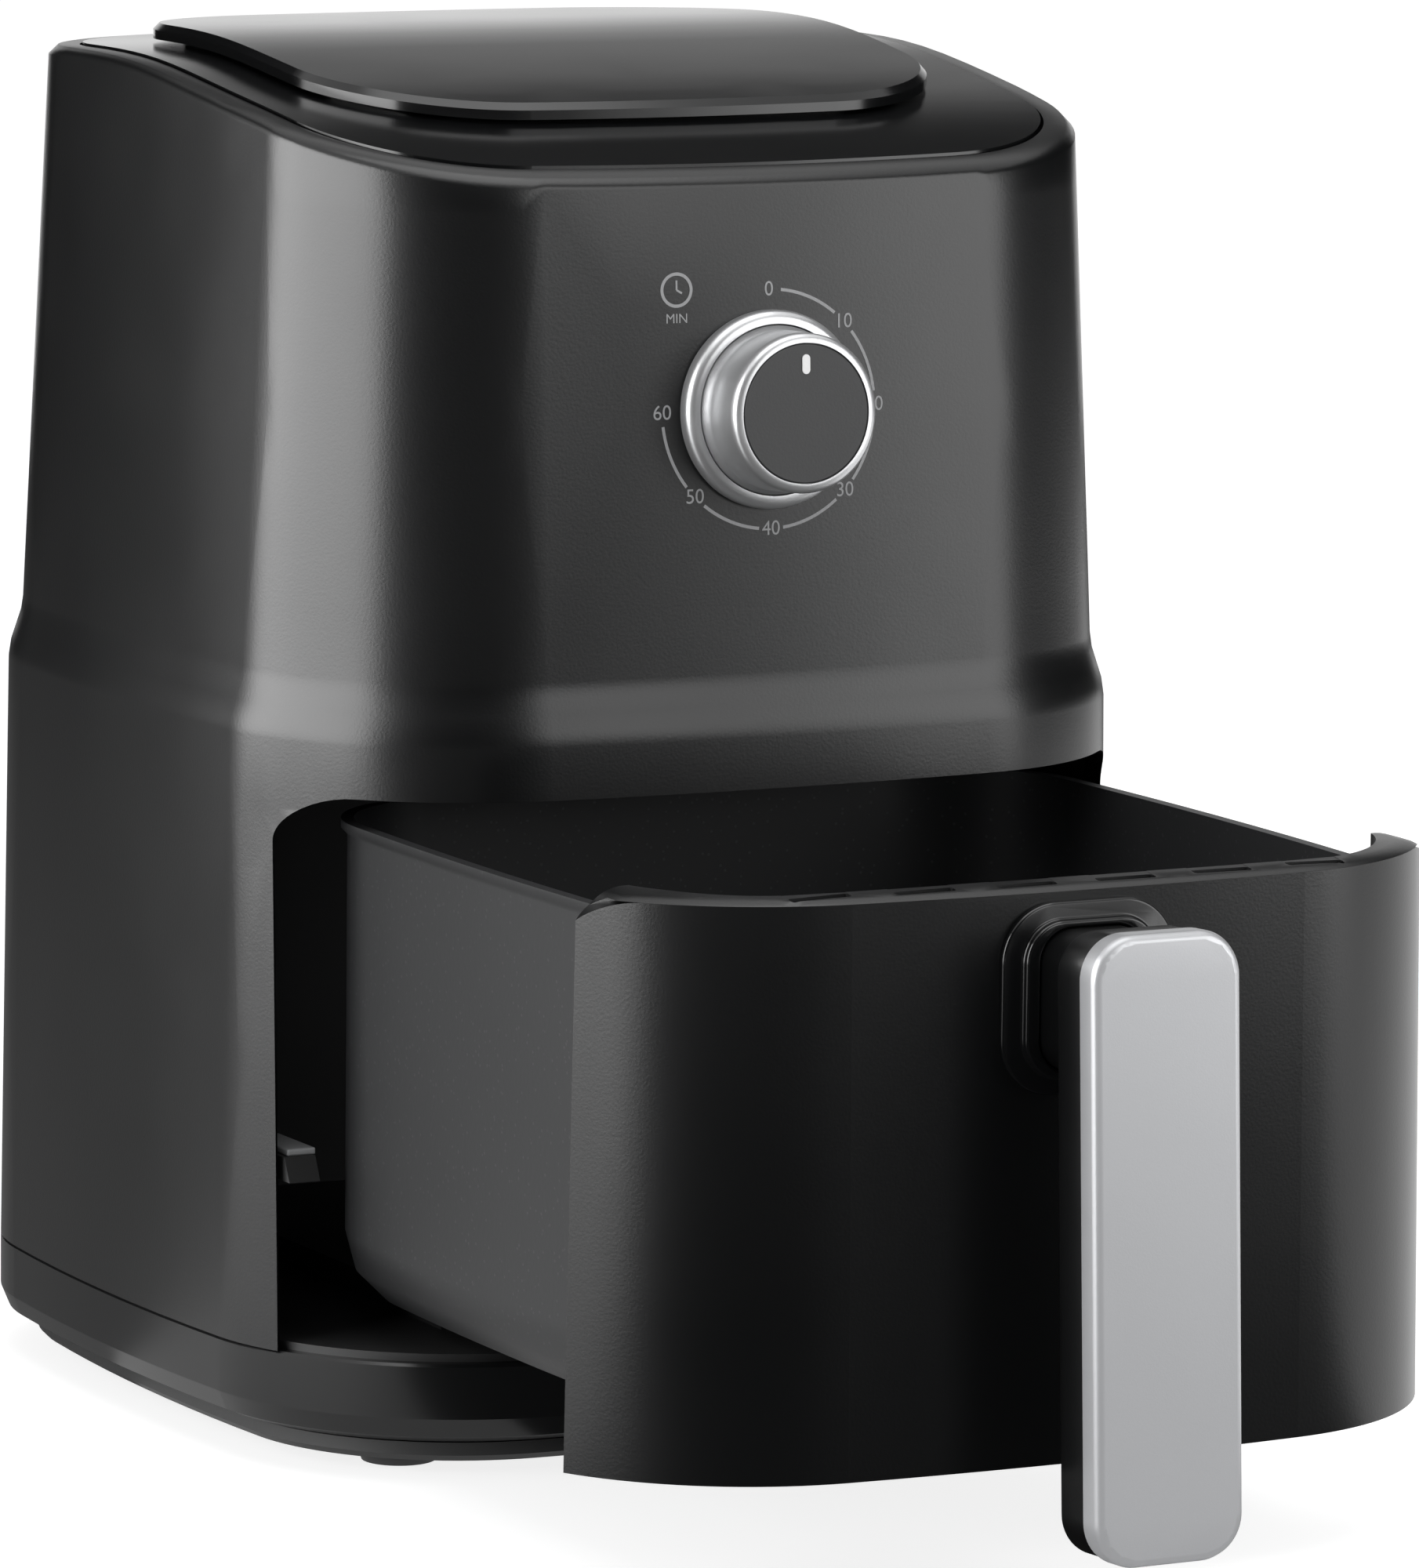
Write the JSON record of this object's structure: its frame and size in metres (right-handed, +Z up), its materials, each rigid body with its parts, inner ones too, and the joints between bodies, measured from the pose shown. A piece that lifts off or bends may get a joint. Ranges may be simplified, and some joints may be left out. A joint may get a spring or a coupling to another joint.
{
  "type": "air fryer",
  "caption": "Tall rounded countertop air fryer with a pull-out pan on an upright handle and a round timer dial.",
  "frame": {"origin": "middle of the footprint with the drawer open, on the table", "axes": "+Z up, -Y towards the user, so the drawer opens along -Y; +X to the right of the fryer seen from behind its back, which is the viewer's right from the front"},
  "size_m": [0.255, 0.465, 0.3544],
  "materials": {
    "body_black": "satin moulded black",
    "gloss_black": "glossy moulded black",
    "bay_black": "matt heat-resistant black",
    "satin_silver": "satin silver lacquer",
    "pointer_white": "white print",
    "nonstick": "dark non-stick coating",
    "bare_steel": "plain steel",
    "soft_rubber": "matt soft rubber"
  },
  "bodies": {
    "body": {"outer_shell": "body_black", "plinth": "gloss_black", "base_plate": "bay_black", "base_screws": "bare_steel", "top_ledge": "gloss_black", "top_cap": "gloss_black", "inner_liner": "bay_black", "drawer_runners": "bay_black", "side_guides": "bay_black", "heater_housing": "bare_steel", "heating_element": "bare_steel", "element_clips": "bare_steel", "fan_motor": "bare_steel", "motor_bracket": "bare_steel", "thermostat": "bare_steel", "thermal_fuse": "bare_steel", "drawer_switch": "bay_black", "timer_unit": "bay_black", "dial_bezel": "satin_silver", "rear_grille": "body_black", "cord_gland": "bay_black", "foot_1": "soft_rubber", "foot_2": "soft_rubber", "foot_3": "soft_rubber", "foot_4": "soft_rubber"},
    "timer_knob": {"timer_shaft": "bare_steel", "knob": "satin_silver", "knob_disc": "bay_black", "knob_pointer": "pointer_white"},
    "air_drive": {"hot_air_fan": "bare_steel", "fan_shaft": "bare_steel", "cooling_fan": "bay_black"},
    "drawer": {"pan": "nonstick", "front_panel": "body_black", "panel_carrier": "bay_black", "panel_cap": "body_black", "escutcheon": "body_black", "handle_grip": "body_black", "handle_plate": "satin_silver"},
    "tray": {"crisper_tray": "nonstick", "tray_bumpers": "soft_rubber"}
  },
  "joints": [
    {"name": "drawer_slide", "type": "slide", "parent": "body", "child": "drawer", "axis": [0, -1, 0], "range_m": [-0.157, 0.08]},
    {"name": "timer_turn", "type": "hinge", "parent": "body", "child": "timer_knob", "pos_m": [0, -0.02224, 0.2678], "axis": [0, 0.9989, -0.046], "range_deg": [0, 270]},
    {"name": "fan_spin", "type": "hinge", "parent": "body", "child": "air_drive", "pos_m": [0, 0.09962, 0.232], "axis": [0, 0, 1], "continuous": true},
    {"name": "tray_lift", "type": "slide", "parent": "drawer", "child": "tray", "axis": [0, 0, 1], "range_m": [0, 0.105]}
  ]
}
